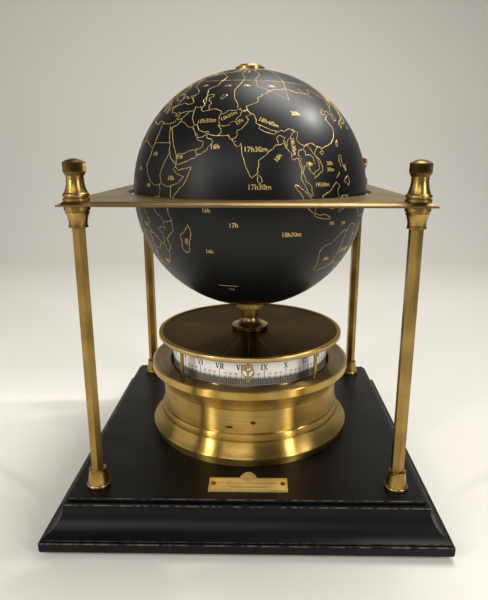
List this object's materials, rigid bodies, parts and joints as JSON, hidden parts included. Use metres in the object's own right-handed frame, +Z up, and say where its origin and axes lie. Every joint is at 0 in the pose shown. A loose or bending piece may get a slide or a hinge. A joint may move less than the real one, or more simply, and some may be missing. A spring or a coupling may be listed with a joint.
{
  "type": "world time globe clock",
  "caption": "Terrestrial globe on a round brass drum with a turning 24-hour dial, framed by a square brass horizon plate on hexagonal columns and a moulded black base.",
  "frame": {"origin": "on the floor, under the middle of the base, at the underside of the feet", "axes": "+Z up along the globe's axis, front with the name plate towards -Y, +X to the right seen from the front"},
  "size_m": [0.22, 0.22, 0.2587],
  "materials": {
    "black_lacquer": "satin lacquer on wood",
    "rubber": "matt",
    "label_brass": "bright lacquered",
    "drum_brass": "turned and polished",
    "dark_brass": "dark polished",
    "aged_brass": "aged",
    "plate_brass": "brushed, dulled",
    "steel": "plain",
    "bronze": "turned",
    "movement_brass": "stamped",
    "dial_enamel": "white enamel",
    "aluminium": "spun",
    "black_plastic": "moulded",
    "white_plastic": "moulded",
    "circuit": "coated laminate",
    "copper": "enamelled wire",
    "cell_jacket": "sleeve",
    "spring_steel": "nickel plated",
    "globe_black": "satin",
    "grey_plastic": "moulded"
  },
  "bodies": {
    "stand": {"base_plinth": "black_lacquer", "base_cove": "black_lacquer", "base_top_panel": "black_lacquer", "feet": "rubber", "nameplate": "label_brass", "nameplate_pins": "label_brass", "drum_foot": "drum_brass", "drum_wall": "drum_brass", "drum_flange": "drum_brass", "pillars": "drum_brass", "pointer": "drum_brass", "pedestal": "drum_brass", "top_disc": "dark_brass", "column_front_left": "aged_brass", "column_front_right": "aged_brass", "column_back_left": "aged_brass", "column_back_right": "aged_brass", "plate_ferrule_front_left": "aged_brass", "plate_ferrule_front_right": "aged_brass", "plate_ferrule_back_left": "aged_brass", "plate_ferrule_back_right": "aged_brass", "finial_front_left": "aged_brass", "finial_front_right": "aged_brass", "finial_back_left": "aged_brass", "finial_back_right": "aged_brass", "foot_ferrules": "aged_brass", "finial_caps": "aged_brass", "horizon_plate": "plate_brass", "tie_rods": "steel", "tie_rod_nuts": "steel", "drum_screws": "steel", "plate_screws": "steel", "cover_screws": "steel", "pedestal_nut": "steel", "upper_bush": "bronze", "lower_bush": "bronze", "movement_plate": "movement_brass", "movement_case": "black_plastic", "movement_lid": "black_plastic", "bottom_cover": "black_plastic", "circuit_board": "circuit", "motor_coil": "copper", "battery": "cell_jacket", "battery_contacts": "spring_steel"},
    "arbor": {"arbor": "steel", "hour_wheel": "movement_brass", "dial_carrier": "aluminium", "dial_ring": "dial_enamel"},
    "globe": {"globe_north": "globe_black", "globe_south": "globe_black", "globe_band": "grey_plastic", "globe_axle": "steel", "globe_collar": "drum_brass", "globe_cap": "drum_brass", "friction_washer": "steel"},
    "reduction": {"reduction_gear": "movement_brass"},
    "motor": {"motor_pinion": "white_plastic"},
    "setting": {"setting_wheel": "white_plastic", "setting_knob": "black_plastic"}
  },
  "joints": [
    {"name": "dial_spin", "type": "hinge", "parent": "stand", "child": "arbor", "pos_m": [0, 0, 0.065], "axis": [0, 0, 1], "continuous": true},
    {"name": "globe_set", "type": "hinge", "parent": "arbor", "child": "globe", "pos_m": [0, 0, 0.184], "axis": [0, 0, 1], "continuous": true},
    {"name": "reduction_spin", "type": "hinge", "parent": "stand", "child": "reduction", "pos_m": [0, 0.0252, 0.065], "axis": [0, 0, 1], "continuous": true},
    {"name": "motor_spin", "type": "hinge", "parent": "stand", "child": "motor", "pos_m": [0.01747, 0.0125, 0.065], "axis": [0, 0, 1], "continuous": true},
    {"name": "setting_spin", "type": "hinge", "parent": "stand", "child": "setting", "pos_m": [-0.02706, -0.00985, 0.065], "axis": [0, 0, 1], "continuous": true}
  ],
  "couplings": [
    {"joint": "reduction_spin", "follows": "dial_spin", "ratio": -6},
    {"joint": "motor_spin", "follows": "dial_spin", "ratio": 30},
    {"joint": "setting_spin", "follows": "dial_spin", "ratio": -3}
  ]
}
